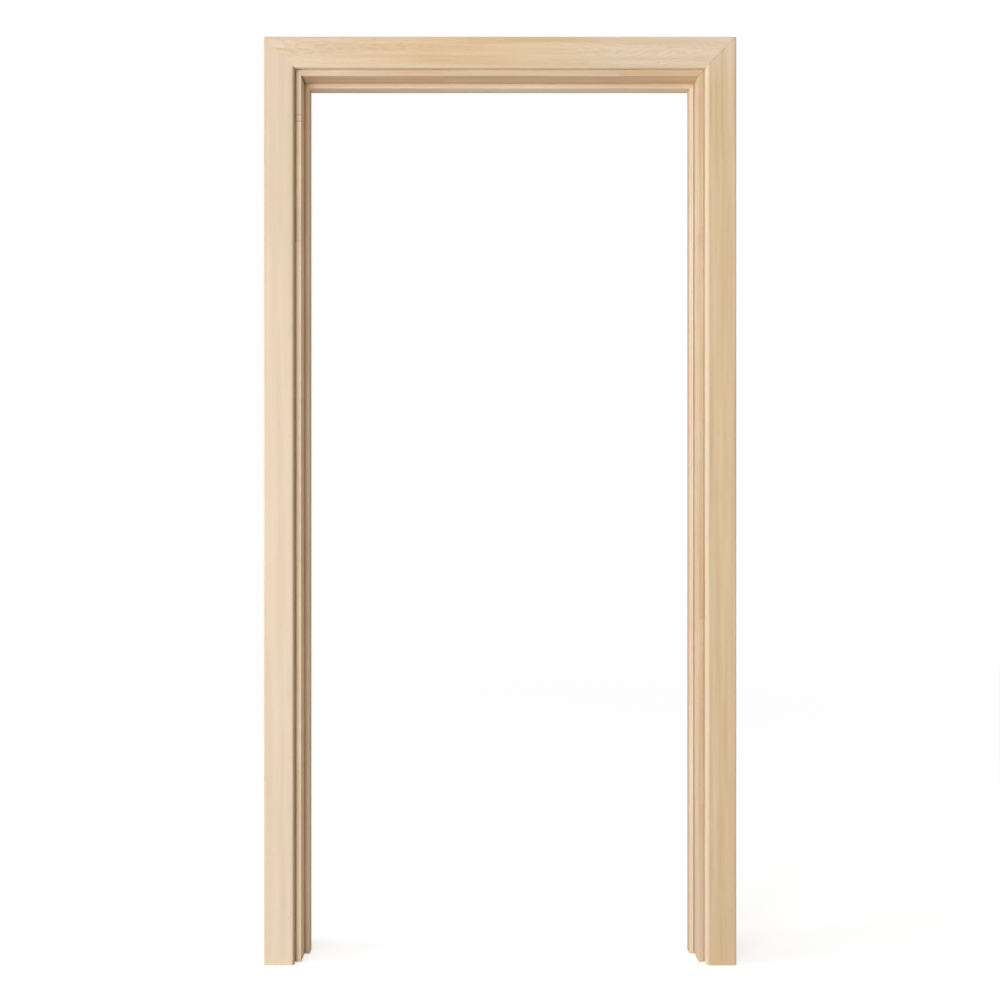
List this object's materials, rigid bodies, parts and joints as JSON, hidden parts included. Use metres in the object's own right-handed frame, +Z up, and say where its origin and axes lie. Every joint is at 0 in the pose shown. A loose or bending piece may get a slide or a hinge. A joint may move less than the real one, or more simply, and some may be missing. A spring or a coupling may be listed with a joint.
{
  "type": "door frame",
  "caption": "Interior door frame in pale wood: mitred jambs with planted stops and a flat mitred casing round the front side.",
  "frame": {"origin": "on the floor, halfway across the doorway and halfway through the whole frame's depth", "axes": "+X across the doorway to the right as seen from the casing side, +Y through the wall away from the casing side, +Z up"},
  "size_m": [1.088, 0.135, 2.137],
  "materials": {
    "casing_wood": "satin clear lacquer on pale straight-grained wood",
    "jamb_wood": "satin clear lacquer on pale straight-grained wood",
    "stop_wood": "satin clear lacquer on pale straight-grained wood",
    "pressed_beech": "raw pressed beech",
    "zinc_steel": "bright zinc plate",
    "bright_steel": "plain drawn wire"
  },
  "bodies": {
    "root": {"left_jamb": "jamb_wood", "right_jamb": "jamb_wood", "head_jamb": "jamb_wood", "left_stop": "stop_wood", "right_stop": "stop_wood", "head_stop": "stop_wood", "left_casing": "casing_wood", "right_casing": "casing_wood", "head_casing": "casing_wood", "left_jamb_biscuit": "pressed_beech", "right_jamb_biscuit": "pressed_beech", "left_casing_biscuit": "pressed_beech", "right_casing_biscuit": "pressed_beech", "left_corner_screws": "zinc_steel", "right_corner_screws": "zinc_steel", "left_casing_nails": "bright_steel", "right_casing_nails": "bright_steel", "head_casing_nails": "bright_steel", "left_stop_pins": "bright_steel", "right_stop_pins": "bright_steel", "head_stop_pins": "bright_steel"}
  },
  "joints": []
}
